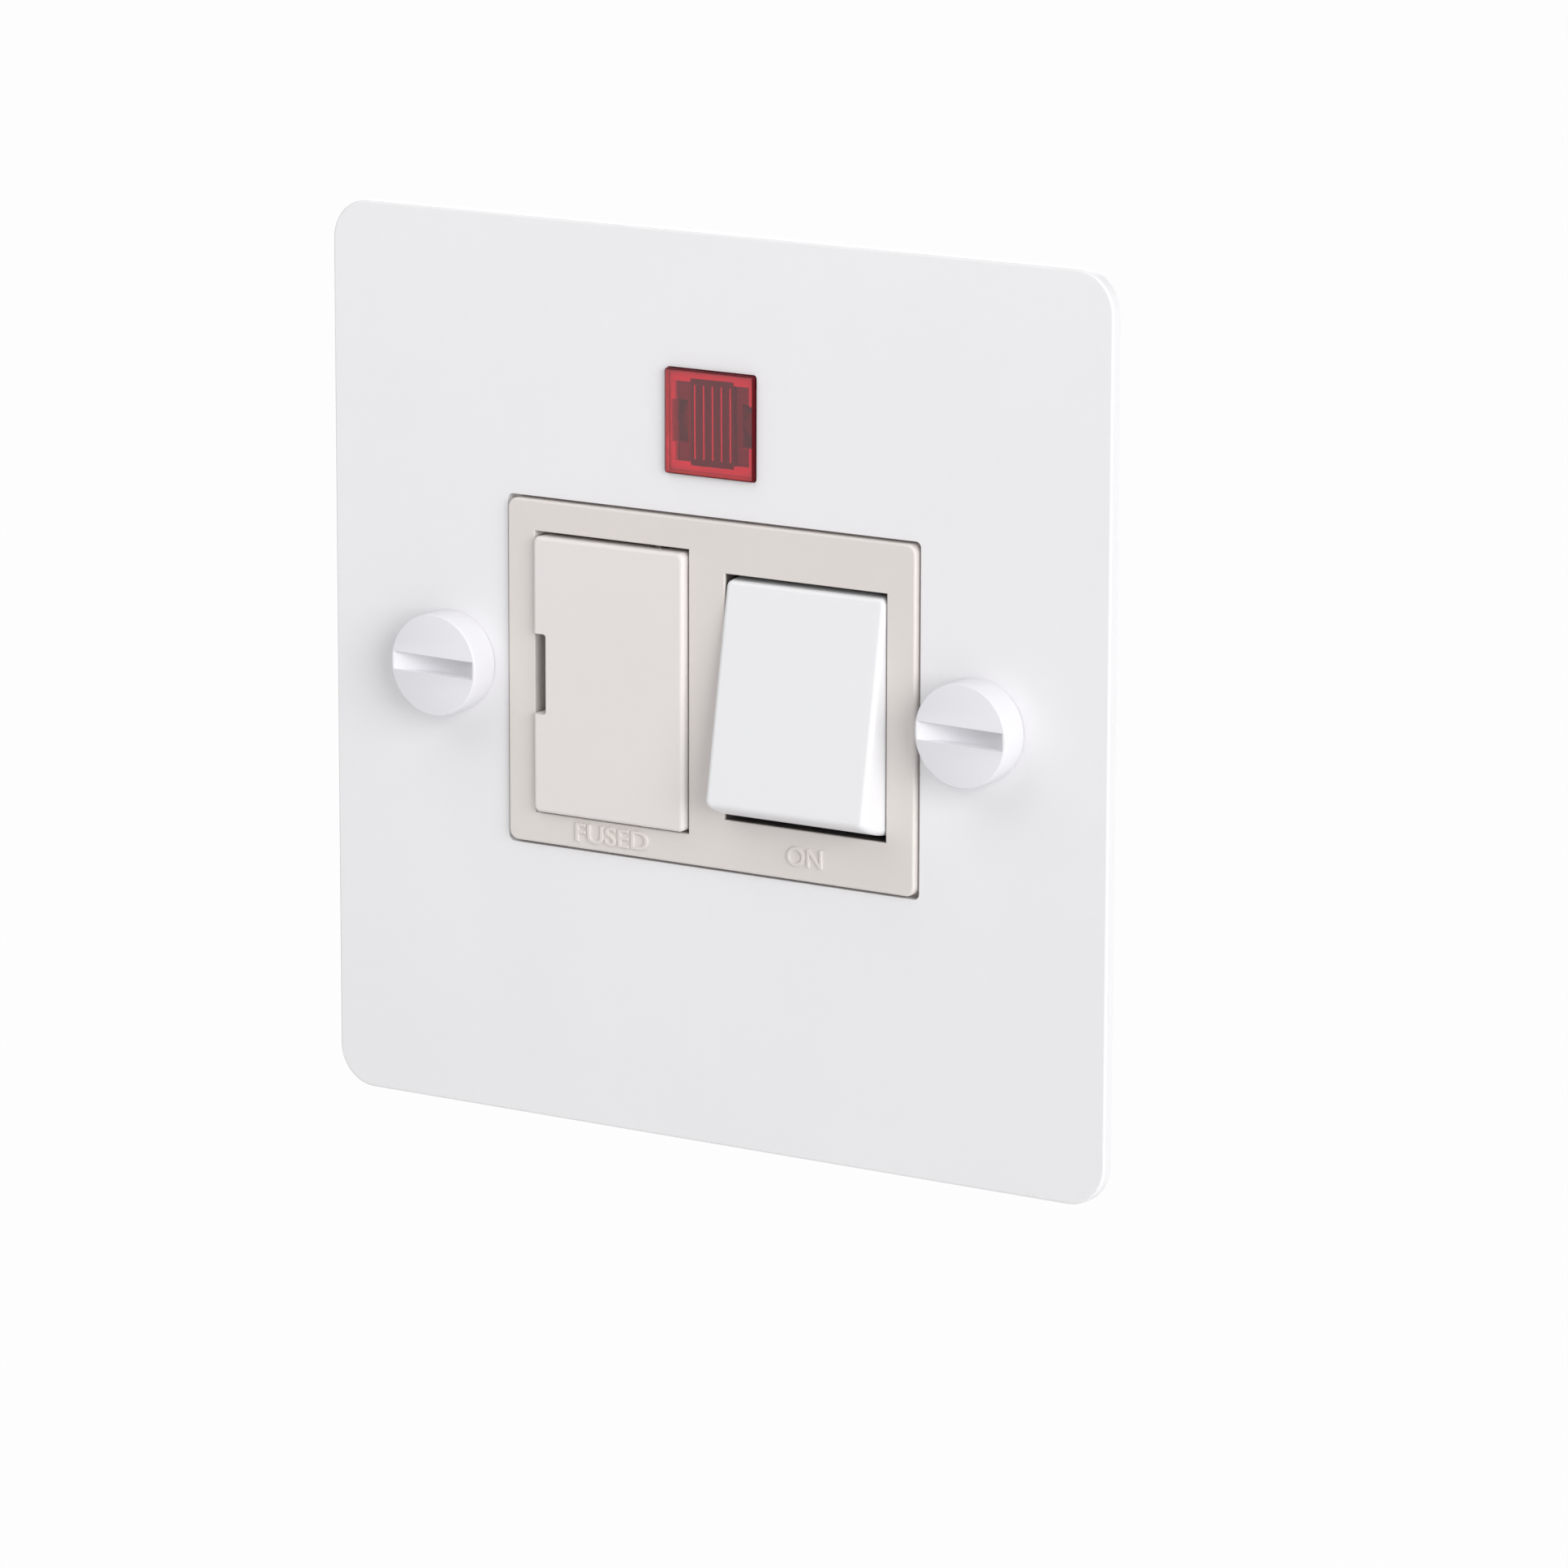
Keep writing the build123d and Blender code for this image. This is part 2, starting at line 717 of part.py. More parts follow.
# Spring clip that wraps the side of a fuse cap away from the way out
def fuse_clip(low, high):
    inner = fuse_radius + clip_clearance
    bottom = fuse_y + inner
    arm_x = fuse_x + inner
    left_x = fuse_x - inner * math.sin(math.radians(clip_left_angle))
    left_y = fuse_y + inner * math.cos(math.radians(clip_left_angle))
    right_arm = block(arm_x, arm_x + clip_thickness, fuse_y - clip_right_rise, bottom, low, high)
    left_arm = block(left_x - clip_thickness, left_x, left_y, bottom, low, high)
    seat = block(left_x - clip_thickness, arm_x + clip_thickness, bottom, bottom + clip_thickness, low, high)
    clip = right_arm + left_arm + seat
    corners = clip.edges().filter_by(Axis.Z).group_by(Axis.Y)[-1]
    clip = fillet(corners, clip_bend_radius)
    half_leg = clip_leg_thickness / 2
    leg = block(fuse_x - half_leg, fuse_x + half_leg, bottom + clip_thickness / 2, bus_front, low, high)
    return clip + leg


# One pressing from the live fulcrum to the upper fuse clip
def live_link():
    half = strap_width / 2
    low = cap_centre - clip_width / 2
    high = cap_centre + clip_width / 2
    across = strap(fuse_x - half, live_x + half, -half, half)
    up = strap(fuse_x - half, fuse_x + half, -half, high)
    return across + up + fulcrum_post(live_x) + fuse_clip(low, high)


def live_load_strap():
    half = strap_width / 2
    low = -cap_centre - clip_width / 2
    high = -cap_centre + clip_width / 2
    run_high = -lane_low - strap_clearance
    run_low = run_high - lane_strap_width
    down = strap(fuse_x - half, fuse_x + half, run_low, high)
    run = strap(-outer_terminal_x - half, fuse_x + half, run_low, run_high)
    tab = strap(-outer_terminal_x - half, -outer_terminal_x + half, -row_inner, run_high)
    return down + run + tab + fuse_clip(low, high)


def neutral_load_strap():
    half = strap_width / 2
    return strap(neutral_x - half, neutral_x + half, -row_inner, half) + fulcrum_post(neutral_x)


# How far the earth strap reaches under each earth terminal
def earth_reach():
    return inner_terminal_x - terminal_width / 2 + strap_width / 2


def earth_strap():
    reach = earth_reach()
    half = tail_width / 2
    run_high = -lane_low - strap_clearance
    bar = strap(-reach, reach, -row_inner, run_high)
    tail_low = -row_inner - bus_thickness
    tail = block(-half, half, 0, bus_back, tail_low, -row_inner)
    foot = block(-half, half, 0, bus_thickness, -row_inner - tail_foot, -row_inner)
    return bar + tail + foot


# Carrier: proud face hinged near its right edge, prise notch at its left, cradle behind
def fuse_carrier():
    face = block(carrier_left, carrier_right, carrier_front, carrier_back, carrier_bottom, carrier_top)
    face = fillet(face.edges().filter_by(Axis.Y), carrier_corner_radius)
    face = fillet(front_edges(face), carrier_edge_radius)
    notch = block(
        carrier_left,
        carrier_left + notch_depth,
        carrier_front,
        carrier_back,
        -notch_height / 2,
        notch_height / 2,
    )
    notch = fillet(notch.edges().filter_by(Axis.Y).group_by(Axis.X)[-1], notch_round)
    face -= notch
    reach = fuse_radius + cradle_clearance
    half = cradle_length / 2
    outer = reach + cradle_wall
    cradle = block(fuse_x - outer, fuse_x + outer, carrier_back, fuse_y + cradle_grip, -half, half)
    cradle -= rod_z(reach, fuse_x, fuse_y, -half, half)
    peg_low = carrier_bottom - peg_length
    peg_high = carrier_top + peg_length
    pegs = rod_z(peg_radius, carrier_axis_x, carrier_axis_y, peg_low, peg_high)
    return face + cradle + pegs


def fuse_tube():
    half = fuse_length / 2 - fuse_cap_wall
    return rod_z(fuse_radius - fuse_cap_wall, fuse_x, fuse_y, -half, half)


def fuse_caps():
    end = fuse_length / 2
    cap = rod_z(fuse_radius, fuse_x, fuse_y, end - fuse_cap_length, end)
    cap -= rod_z(fuse_radius - fuse_cap_wall, fuse_x, fuse_y, end - fuse_cap_length, end - fuse_cap_wall)
    return [cap, mirror(cap, about=Plane.XY)]


# Neon lens: a thin-walled cap with a flange trapped behind the plate
def neon_lens():
    place = Pos(0, lens_centre_height)
    outline = place * RectangleRounded(lens_size, lens_size, lens_corner_radius)
    body = prism(outline, lens_front, lens_flange_thickness)
    body = fillet(front_edges(body), lens_edge_radius)
    body += prism(place * Rectangle(2 * lens_flange_half, 2 * lens_flange_half), 0, lens_flange_thickness)
    hollow = lens_size - 2 * lens_side_wall
    body -= prism(place * Rectangle(hollow, hollow), lens_front + lens_front_wall, lens_flange_thickness)
    return body


def neon_lamp():
    lamp = rod_x(lamp_radius, lamp_y, lens_centre_height, -lamp_half_length, lamp_half_length)
    return fillet(lamp.edges().filter_by(GeomType.CIRCLE), lamp_end_round)


# Clip that holds the lamp on the pocket floor, with a slitted grille in front of it
def lamp_clip():
    z = lens_centre_height
    grille_front = lens_front + lens_front_wall + lamp_clip_front_gap
    shoulder_front = grille_front + lamp_clip_step
    half = lamp_clip_width / 2
    tall = lamp_clip_height / 2
    clip = block(-half, half, shoulder_front, lamp_pocket_floor, z - tall, z + tall)
    grille_half = grille_width / 2
    grille_low = z - grille_height / 2
    grille_high = z + grille_height / 2
    clip += block(-grille_half, grille_half, grille_front, lamp_pocket_floor, grille_low, grille_high)
    clip -= rod_x(lamp_radius + running_clearance, lamp_y, z, -half, half)
    window_tall = lamp_window_height / 2
    clip -= block(-half, -lamp_window_start, shoulder_front, lamp_y, z - window_tall, z + window_tall)
    clip -= block(lamp_window_start, half, shoulder_front, lamp_y, z - window_tall, z + window_tall)
    slit_half = grille_slit_width / 2
    slit_low = z - grille_slit_height / 2
    slit_high = z + grille_slit_height / 2
    for slit in range(grille_slits):
        x = (slit - (grille_slits - 1) / 2) * grille_slit_pitch
        clip -= block(x - slit_half, x + slit_half, grille_front, shoulder_front, slit_low, slit_high)
    return clip


# Lamp lead down to the switched live link
def neon_live_lead():
    bend_z = lens_centre_height - tower_cavity_half + lead_bend + lead_radius
    return wire_along(
        [
            (-lamp_half_length, lamp_y, lens_centre_height),
            (-lead_x, lamp_y, lens_centre_height),
            (-lead_x, lead_y, lens_centre_height),
            (-lead_x, lead_y, bend_z),
            (web_x, lead_y, bend_z),
            (web_x, lead_y, 0),
            (web_x, bus_front, 0),
        ],
        lead_radius,
    )


# Lamp lead through the series resistor to the switched neutral strap
def neon_neutral_lead():
    bend_z = bay_half_height - lead_bend - lead_radius
    half = resistor_length / 2
    upper = wire_along(
        [
            (lamp_half_length, lamp_y, lens_centre_height),
            (lead_x, lamp_y, lens_centre_height),
            (lead_x, lead_y, lens_centre_height),
            (lead_x, lead_y, bend_z),
            (rocker_x, lead_y, bend_z),
            (rocker_x, lead_y, half),
        ],
        lead_radius,
    )
    lower = wire_along(
        [
            (rocker_x, lead_y, -half),
            (rocker_x, lead_y, -bend_z),
            (neutral_x, lead_y, -bend_z),
            (neutral_x, bus_front, -bend_z),
        ],
        lead_radius,
    )
    return [upper, lower]


def neon_resistor():
    half = resistor_length / 2
    body = rod_z(resistor_radius, rocker_x, lead_y, -half, half)
    return fillet(body.edges().filter_by(GeomType.CIRCLE), resistor_end_round)


def write(name, shape):
    solids = shape if isinstance(shape, list) else [shape]
    node = Compound(children=solids) if len(solids) > 1 else solids[0]
    node.label = name
    export_step(node, f"parts/{name}.step")


def main():
    os.makedirs("parts", exist_ok=True)
    write("front_plate", front_plate())
    write("fixing_screws", fixing_screws())
    write("plate_studs", plate_studs())
    write("stud_nuts", stud_nuts())
    write("front_moulding", front_moulding())
    write("rear_housing", rear_housing())
    write("housing_screws", housing_screws())
    for name, x, end in terminal_places():
        write(name, terminal(x, end))
    write("terminal_screws", terminal_screws())
    write("live_supply_strap", live_supply_strap())
    write("neutral_supply_strap", neutral_supply_strap())
    write("live_link", live_link())
    write("live_load_strap", live_load_strap())
    write("neutral_load_strap", neutral_load_strap())
    write("earth_strap", earth_strap())
    write("fixed_contacts", fixed_contacts())
    write("rocker", rocker())
    write("rocker_plungers", rocker_plungers())
    write("plunger_springs", plunger_springs())
    write("live_lever", switch_lever(live_x))
    write("neutral_lever", switch_lever(neutral_x))
    write("lever_contacts", lever_contacts())
    write("fuse_carrier", fuse_carrier())
    write("fuse_tube", fuse_tube())
    write("fuse_caps", fuse_caps())
    write("neon_lens", neon_lens())
    write("neon_lamp", neon_lamp())
    write("lamp_clip", lamp_clip())
    write("neon_live_lead", neon_live_lead())
    write("neon_neutral_lead", neon_neutral_lead())
    write("neon_resistor", neon_resistor())


main()
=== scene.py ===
import bpy
import json
import math
from mathutils import Matrix, Vector


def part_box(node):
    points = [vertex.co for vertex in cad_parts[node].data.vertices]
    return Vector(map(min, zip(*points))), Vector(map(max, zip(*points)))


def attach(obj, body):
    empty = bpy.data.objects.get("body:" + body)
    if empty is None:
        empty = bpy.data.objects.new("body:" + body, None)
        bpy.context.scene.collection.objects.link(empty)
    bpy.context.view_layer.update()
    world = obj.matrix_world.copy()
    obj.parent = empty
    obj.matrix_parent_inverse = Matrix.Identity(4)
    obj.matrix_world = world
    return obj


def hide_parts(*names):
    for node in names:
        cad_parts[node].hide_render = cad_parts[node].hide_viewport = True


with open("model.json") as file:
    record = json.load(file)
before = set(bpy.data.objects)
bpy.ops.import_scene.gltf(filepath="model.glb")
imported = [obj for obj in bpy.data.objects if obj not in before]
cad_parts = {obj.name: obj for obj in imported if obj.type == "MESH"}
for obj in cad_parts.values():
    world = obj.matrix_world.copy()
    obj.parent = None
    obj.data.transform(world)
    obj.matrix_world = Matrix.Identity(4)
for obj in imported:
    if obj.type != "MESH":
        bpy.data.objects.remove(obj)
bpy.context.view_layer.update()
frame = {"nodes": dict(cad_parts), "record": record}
print("stage: frame loaded,", len(frame["nodes"]), "nodes")

mm = 0.001
near = 0.01 * mm  # slack when edges are picked by their place
smoothAngle = math.radians(35)


# Finishes

class Shade:
    # one socket of a material's nodes: sums on it add Math nodes
    def __init__(self, tree, socket=None):
        self.tree = tree
        self.socket = socket

    def node(self, kind, settings, inputs, output=0):
        made = self.tree.nodes.new(kind)
        for name, value in settings.items():
            setattr(made, name, value)
        for name, value in inputs.items():
            if isinstance(value, Shade):
                self.tree.links.new(value.socket, made.inputs[name])
            else:
                made.inputs[name].default_value = value
        return Shade(self.tree, made.outputs[output])

    def maths(self, operation, first, second):
        return self.node("ShaderNodeMath", {"operation": operation}, {0: first, 1: second})

    def __add__(self, other):
        return self.maths("ADD", self, other)

    def __sub__(self, other):
        return self.maths("SUBTRACT", self, other)

    def __rsub__(self, other):
        return self.maths("SUBTRACT", other, self)

    def __mul__(self, other):
        return self.maths("MULTIPLY", self, other)

    __radd__ = __add__
    __rmul__ = __mul__

    def larger(self, other):
        return self.maths("MAXIMUM", self, other)

    def noise(self, scale, detail=2.0, rough=0.5):
        values = {"Vector": self, "Scale": scale, "Detail": detail, "Roughness": rough}
        return self.node("ShaderNodeTexNoise", {}, values, "Fac")

    def between(self, low, high):
        # factor to a colour between two tones, each of them fixed or a socket
        first, second = (tone if isinstance(tone, Shade) else (*tone, 1) for tone in (low, high))
        return self.node("ShaderNodeMix", {"data_type": "RGBA"}, {0: self, 6: first, 7: second}, 2)

    def bump(self, distance):
        return self.node("ShaderNodeBump", {}, {"Height": self, "Distance": distance}, "Normal")

    def along(self, axis):
        return self.node("ShaderNodeSeparateXYZ", {}, {0: self}, axis)

    def off(self, middle):
        # distance to either side of a place
        return self.maths("ABSOLUTE", self - middle, 0.0)

    def step(self, low, high):
        # 0 below low, 1 above high and smooth between them
        values = {"Value": self, "From Min": low, "From Max": high}
        return self.node("ShaderNodeMapRange", {"interpolation_type": "SMOOTHSTEP"}, values)


def startFinish(name, fixed):
    finish = bpy.data.materials.new(name)
    finish.use_nodes = True
    tree = finish.node_tree
    surface = tree.nodes["Principled BSDF"]
    for socketName, value in fixed.items():
        surface.inputs[socketName].default_value = value
    place = Shade(tree).node("ShaderNodeTexCoord", {}, {}, "Object")
    return finish, surface, place


def feed(surface, **wires):
    for socketName, wire in wires.items():
        wire.tree.links.new(wire.socket, surface.inputs[socketName.replace("_", " ")])


def mixOver(surface, share, other):
    # the other shader takes this share of the surface
    tree = share.tree
    own = Shade(tree, surface.outputs[0])
    mixed = share.node("ShaderNodeMixShader", {}, {0: share, 1: own, 2: other})
    tree.links.new(mixed.socket, tree.nodes["Material Output"].inputs["Surface"])


# Moulded, coated or plated skins: two close tones, uneven gloss and a fine relief
skinNoise = {"cloudDetail": 3.0, "grainDetail": 2.0, "grainRough": 0.6}

skins = {
    "plate_white": {
        "low": (0.812, 0.803, 0.818), "high": (0.842, 0.833, 0.848), "cloudScale": 60,
        "grainScale": 1500, "roughness": 0.45, "glossSpread": 0.1, "relief": 0.004 * mm,
    },
    "screw_white": {
        "low": (0.752, 0.748, 0.78), "high": (0.782, 0.778, 0.81), "cloudScale": 120,
        "grainScale": 1800, "roughness": 0.4, "glossSpread": 0.1, "relief": 0.004 * mm,
        "toneOrPaintedShadeZone": {  # the shank
            "axis": 1, "middle": -4.7 * mm, "start": 4.0 * mm, "full": 4.2 * mm,
            "tone": (0.60, 0.60, 0.58), "plated": True,
        },
    },
    "bezel_grey": {
        "low": (0.70, 0.655, 0.63), "high": (0.725, 0.68, 0.655), "cloudScale": 90,
        "grainScale": 5000, "roughness": 0.5, "glossSpread": 0.12, "relief": 0.003 * mm,
        "toneOrPaintedShadeZone": {  # painted shade on the walls of the rocker's well
            "axis": 1, "middle": -1.7 * mm, "start": 0.12 * mm, "full": 0.45 * mm,
            "tone": (0.09, 0.08, 0.075),
            "within": [(0, 11.0 * mm, 9.2 * mm), (2, 0.0, 12.0 * mm)], "soft": 0.03 * mm,
        },
    },
    "carrier_grey": {
        "low": (0.755, 0.715, 0.70), "high": (0.775, 0.735, 0.72), "cloudScale": 90,
        "grainScale": 5000, "roughness": 0.5, "glossSpread": 0.12, "relief": 0.003 * mm,
        "toneOrPaintedShadeZone": {  # painted shade on the hinge pegs, which stand in the dark gap above the carrier
            "axis": 2, "middle": -0.1 * mm, "start": 13.56 * mm, "full": 13.6 * mm,
            "tone": (0.05, 0.045, 0.04),
        },
    },
    "rocker_white": {
        "low": (0.805, 0.805, 0.82), "high": (0.82, 0.82, 0.835), "cloudScale": 80,
        "grainScale": 4000, "roughness": 0.3, "glossSpread": 0.08, "relief": 0.001 * mm,
    },
    "housing_grey": {
        "low": (0.50, 0.49, 0.47), "high": (0.56, 0.55, 0.53), "cloudScale": 90,
        "grainScale": 4000, "roughness": 0.55, "glossSpread": 0.12, "relief": 0.006 * mm,
    },
    "brass": {
        "low": (0.74, 0.55, 0.26), "high": (0.82, 0.64, 0.34), "cloudScale": 220,
        "grainScale": 3500, "roughness": 0.3, "glossSpread": 0.16, "relief": 0.004 * mm,
        "fixed": {"Metallic": 1.0},
    },
    "steel": {
        "low": (0.56, 0.56, 0.55), "high": (0.66, 0.66, 0.64), "cloudScale": 300,
        "grainScale": 4000, "roughness": 0.32, "glossSpread": 0.16, "relief": 0.003 * mm,
        "fixed": {"Metallic": 1.0},
    },
    "contact_silver": {
        "low": (0.82, 0.81, 0.79), "high": (0.88, 0.87, 0.85), "cloudScale": 400,
        "grainScale": 5000, "roughness": 0.25, "glossSpread": 0.12, "relief": 0.002 * mm,
        "fixed": {"Metallic": 1.0},
    },
    "plunger_nylon": {
        "low": (0.76, 0.75, 0.70), "high": (0.82, 0.81, 0.77), "cloudScale": 200,
        "grainScale": 4000, "roughness": 0.45, "glossSpread": 0.1, "relief": 0.002 * mm,
    },
    "fuse_ceramic": {
        "low": (0.80, 0.78, 0.73), "high": (0.86, 0.84, 0.80), "cloudScale": 200,
        "grainScale": 3000, "roughness": 0.35, "glossSpread": 0.1, "relief": 0.003 * mm,
    },
    "fuse_cap_metal": {
        "low": (0.70, 0.69, 0.66), "high": (0.78, 0.77, 0.75), "cloudScale": 200,
        "grainScale": 4000, "roughness": 0.25, "glossSpread": 0.12, "relief": 0.002 * mm,
        "fixed": {"Metallic": 1.0},
    },
    "lead_sleeve": {
        "low": (0.05, 0.05, 0.055), "high": (0.08, 0.08, 0.085), "cloudScale": 300,
        "grainScale": 4000, "roughness": 0.55, "glossSpread": 0.1, "relief": 0.003 * mm,
    },
    "resistor_body": {
        "low": (0.60, 0.48, 0.34), "high": (0.68, 0.56, 0.41), "cloudScale": 300,
        "grainScale": 4000, "roughness": 0.4, "glossSpread": 0.1, "relief": 0.003 * mm,
    },
    "lens_skirt": {
        "low": (0.85, 0.22, 0.28), "high": (0.90, 0.26, 0.32), "cloudScale": 250,
        "grainScale": 2000, "roughness": 0.4, "glossSpread": 0.1, "relief": 0.001 * mm,
    },
    "tray_pale": {
        "low": (0.92, 0.91, 0.90), "high": (0.95, 0.94, 0.93), "cloudScale": 200,
        "grainScale": 4000, "roughness": 0.5, "glossSpread": 0.1, "relief": 0.002 * mm,
    },
    "lamp_glass": {
        "low": (0.045, 0.045, 0.055), "high": (0.07, 0.068, 0.08), "cloudScale": 300,
        "grainScale": 2000, "roughness": 0.1, "glossSpread": 0.05, "relief": 0.001 * mm,
    },
}


def skinFinish(name, look):
    finish, surface, place = startFinish(name, look.get("fixed", {}))
    cloud = place.noise(look["cloudScale"], skinNoise["cloudDetail"])
    grain = place.noise(look["grainScale"], skinNoise["grainDetail"], skinNoise["grainRough"])
    tone = cloud.between(look["low"], look["high"])
    if "toneOrPaintedShadeZone" in look:
        # another tone, or painted shade, past a distance from a plane
        toneOrPaintedShadeZone = look["toneOrPaintedShadeZone"]
        inToneOrPaintedShadeZone = place.along(toneOrPaintedShadeZone["axis"]).off(toneOrPaintedShadeZone["middle"]).step(toneOrPaintedShadeZone["start"], toneOrPaintedShadeZone["full"])
        for axis, middle, half in toneOrPaintedShadeZone.get("within", ()):
            beyond = place.along(axis).off(middle).step(half, half + toneOrPaintedShadeZone["soft"])
            inToneOrPaintedShadeZone = inToneOrPaintedShadeZone * (1 - beyond)
        tone = inToneOrPaintedShadeZone.between(tone, toneOrPaintedShadeZone["tone"])
        if toneOrPaintedShadeZone.get("plated"):
            feed(surface, Metallic=inToneOrPaintedShadeZone)
    smoothest = look["roughness"] - look["glossSpread"] / 2
    feed(
        surface,
        Base_Color=tone,
        Roughness=grain * look["glossSpread"] + smoothest,
        Normal=grain.bump(look["relief"]),
    )
    return finish


# Clear red moulding; the walls that stand out of the plate are an opaque dark red: the plastic's own red
# with painted shade
redLens = {
    "fixed": {"Transmission Weight": 1.0, "IOR": 1.49, "Coat Weight": 0.6},
    "thin": (0.97, 0.115, 0.20), "thick": (0.96, 0.09, 0.165), "cloudScale": 250, "cloudDetail": 3.0,
    "smoothest": 0.03, "glossSpread": 0.03, "glossScale": 1500,
    "proudWallShade": (0.075, 0.0005, 0.003), "proudEdgeShade": (0.095, 0.001, 0.005),
    "wallFixed": {"Roughness": 0.4, "Specular IOR Level": 0.1},
    "wallStart": 4.90 * mm, "wallEnd": 4.97 * mm, "middle": 26.05 * mm,
    "plateFace": -1.2 * mm, "soft": 0.05 * mm,
}


def lensFinish(look):
    finish, surface, place = startFinish("lens_red", look["fixed"])
    cloud = place.noise(look["cloudScale"], look["cloudDetail"])
    feed(
        surface,
        Base_Color=cloud.between(look["thin"], look["thick"]),
        Roughness=place.noise(look["glossScale"]) * look["glossSpread"] + look["smoothest"],
    )
    sunk = place.along(1).step(look["plateFace"] - look["soft"], look["plateFace"] + look["soft"])
    across = place.along(0).off(0.0)
    upright = place.along(2).off(look["middle"])
    # painted shade: near the proud walls the clear plastic gives way to an opaque dark red
    nearWall = across.larger(upright).step(look["wallStart"], look["wallEnd"])
    wallShadeTone = cloud.between(look["proudWallShade"], look["proudEdgeShade"])
    shadedWall = place.node("ShaderNodeBsdfPrincipled", {}, {"Base Color": wallShadeTone, **look["wallFixed"]})
    mixOver(surface, nearWall * (1 - sunk), shadedWall)
    return finish


# Smoked lamp clip, darker on its grille than on the shoulders
smokedClip = {
    "grille": (0.06, 0.058, 0.075), "shoulder": (0.17, 0.15, 0.17),
    "grilleEdge": 2.42 * mm, "soft": 0.04 * mm,
    "grainScale": 4000, "smoothest": 0.45, "glossSpread": 0.1, "relief": 0.003 * mm,
}


def clipFinish(look):
    finish, surface, place = startFinish("clip_dark", {})
    grain = place.noise(look["grainScale"])
    side = place.along(0).off(0.0).step(look["grilleEdge"], look["grilleEdge"] + look["soft"])
    feed(
        surface,
        Base_Color=side.between(look["grille"], look["shoulder"]),
        Roughness=grain * look["glossSpread"] + look["smoothest"],
        Normal=grain.bump(look["relief"]),
    )
    return finish


finishes = {slotName: skinFinish(slotName, look) for slotName, look in skins.items()}
finishes["lens_red"] = lensFinish(redLens)
finishes["clip_dark"] = clipFinish(smokedClip)
for row in frame["record"]["subparts"]:
    body = frame["nodes"][row["node"]].data
    body.materials.clear()
    body.materials.append(finishes[row["material_slot"]])


# Modelling helpers

def startFresh():
    if bpy.context.mode != "OBJECT":
        bpy.ops.object.mode_set(mode="OBJECT")
    bpy.ops.object.select_all(action="DESELECT")


def pickOnly(piece):
    startFresh()
    piece.select_set(True)
    bpy.context.view_layer.objects.active = piece


def editEdges(piece, wanted):
    # edit mode with only the edges picked whose two ends pass the test together
    bpy.ops.object.mode_set(mode="EDIT")
    bpy.ops.mesh.select_mode(type="EDGE")
    bpy.ops.mesh.select_all(action="DESELECT")
    bpy.ops.object.mode_set(mode="OBJECT")
    points = piece.data.vertices
    for edge in piece.data.edges:
        edge.select = wanted(*(points[end].co for end in edge.vertices))
    bpy.ops.object.mode_set(mode="EDIT")


def bevelEdges(piece, wanted, width, segments):
    editEdges(piece, wanted)
    bpy.ops.mesh.bevel(offset=width, segments=segments, affect="EDGES")


def settle():
    bpy.ops.object.transform_apply(location=True, rotation=True, scale=True)


def applyModifier(piece, kind, settings):
    made = piece.modifiers.new(kind.lower(), kind)
    for name, value in settings.items():
        setattr(made, name, value)
    bpy.context.view_layer.objects.active = piece
    bpy.ops.object.modifier_apply(modifier=made.name)


def combine(piece, tool, operation):
    applyModifier(piece, "BOOLEAN", {"operation": operation, "object": tool, "solver": "EXACT"})
    bpy.data.objects.remove(tool)


def cutWith(piece, tool):
    combine(piece, tool, "DIFFERENCE")


softening = {"segments": 2, "limit_method": "ANGLE", "angle_limit": math.radians(50)}


def softenEdges(piece, width):
    applyModifier(piece, "BEVEL", {"width": width, **softening})


def joinPieces(pieces, name):
    startFresh()
    for piece in pieces:
        piece.select_set(True)
    bpy.context.view_layer.objects.active = pieces[0]
    bpy.ops.object.join()
    joined = bpy.context.object
    joined.name = name
    joined.data.name = name
    return joined


def copyTo(model, place, turn=0.0):
    made = model.copy()
    made.data = model.data.copy()
    bpy.context.collection.objects.link(made)
    made.location = place
    made.rotation_euler = (0, 0, turn)
    pickOnly(made)
    settle()
    return made


def spreadCopies(model, places, name, turn=0.0):
    copies = [copyTo(model, place, turn) for place in places]
    bpy.data.objects.remove(model)
    return joinPieces(copies, name)


def addBlock(width, height, front, back, x, z):
    startFresh()
    bpy.ops.mesh.primitive_cube_add(size=1, location=(x, (front + back) / 2, z))
    made = bpy.context.object
    made.scale = (width, back - front, height)
    settle()
    return made


def dress(piece, slotName, bodyName, *nodes, finishName=None):
    piece.data.materials.clear()
    piece.data.materials.append(finishes[finishName or slotName])
    pickOnly(piece)
    bpy.ops.object.shade_smooth_by_angle(angle=smoothAngle)
    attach(piece, bodyName)
    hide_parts(*nodes)


# Screws, modelled with the head towards -Y and the underside of the head at 0
screwMake = {
    "headVertices": 96, "headSegments": 3, "underSegments": 2, "sawVertices": 180,
    "coreVertices": 48, "tipSegments": 2, "ridgeSteps": 32,
    "crestShare": 0.6, "flankShare": 0.45,  # of the pitch
    "overlapShare": 0.1,  # of the crest, so that the ridge starts in the core
}
alongY = (math.pi / 2, 0, 0)


def screwHead(look):
    startFresh()
    height = look["headHeight"]
    bpy.ops.mesh.primitive_cylinder_add(
        vertices=screwMake["headVertices"], radius=look["headRadius"], depth=height,
        location=(0, -height / 2, 0), rotation=alongY,
    )
    head = bpy.context.object
    settle()
    bevelEdges(head, lambda one, other: max(one.y, other.y) < near - height,
               look["headEdge"], screwMake["headSegments"])
    bevelEdges(head, lambda one, other: min(one.y, other.y) > -near,
               look["underEdge"], screwMake["underSegments"])
    startFresh()
    return head


